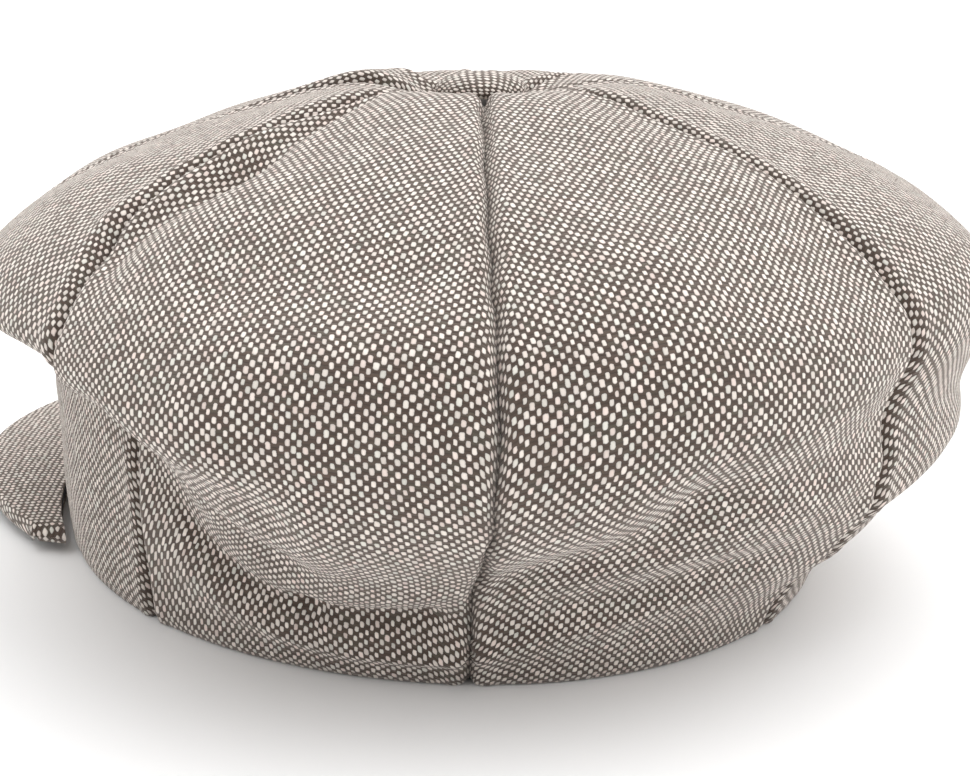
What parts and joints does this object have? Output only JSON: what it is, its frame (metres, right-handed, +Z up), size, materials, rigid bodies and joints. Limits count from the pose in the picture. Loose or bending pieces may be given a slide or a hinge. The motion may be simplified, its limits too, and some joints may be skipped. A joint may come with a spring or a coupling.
{
  "type": "newsboy cap",
  "caption": "Soft panelled newsboy cap of woven tweed, with a covered top button, satin lining, sweatband and a short stiffened brim.",
  "frame": {"origin": "under the middle of the cap's bounding box, on the surface that the hem rests on", "axes": "+Z up through the top button, -Y towards the brim, +X to the wearer's left"},
  "size_m": [0.2344, 0.2762, 0.1135],
  "materials": {
    "tweed": "coarse plain-woven wool tweed, cream on brown",
    "satin": "smooth satin lining",
    "tape": "stiff woven buckram",
    "label": "blank woven label",
    "button_metal": "pressed sheet",
    "board": "moulded visor board"
  },
  "bodies": {
    "crown": {"crown_panel_left_rear": "tweed", "crown_panel_back_left": "tweed", "crown_panel_back_right": "tweed", "crown_panel_right_rear": "tweed", "crown_panel_right_fore": "tweed", "crown_panel_front_right": "tweed", "crown_panel_front_left": "tweed", "crown_panel_left_fore": "tweed", "lining_gore_left_rear": "satin", "lining_gore_back_left": "satin", "lining_gore_back_right": "satin", "lining_gore_right_rear": "satin", "lining_gore_right_fore": "satin", "lining_gore_front_right": "satin", "lining_gore_front_left": "satin", "lining_gore_left_fore": "satin", "stiffening_tape": "tape", "sweatband": "satin", "size_label": "label", "button_cloth": "tweed", "button_shell": "button_metal", "button_rivet": "button_metal"},
    "brim": {"brim_upper_cloth": "tweed", "brim_board": "board", "brim_under_cloth": "tweed"}
  },
  "joints": [
    {"name": "brim_flex", "type": "hinge", "parent": "crown", "child": "brim", "pos_m": [0, -0.07, 0.01], "axis": [-1, 0, 0], "range_deg": [-5, 12], "stiffness_Nm_per_rad": 0.6, "springref_deg": 1.15}
  ]
}
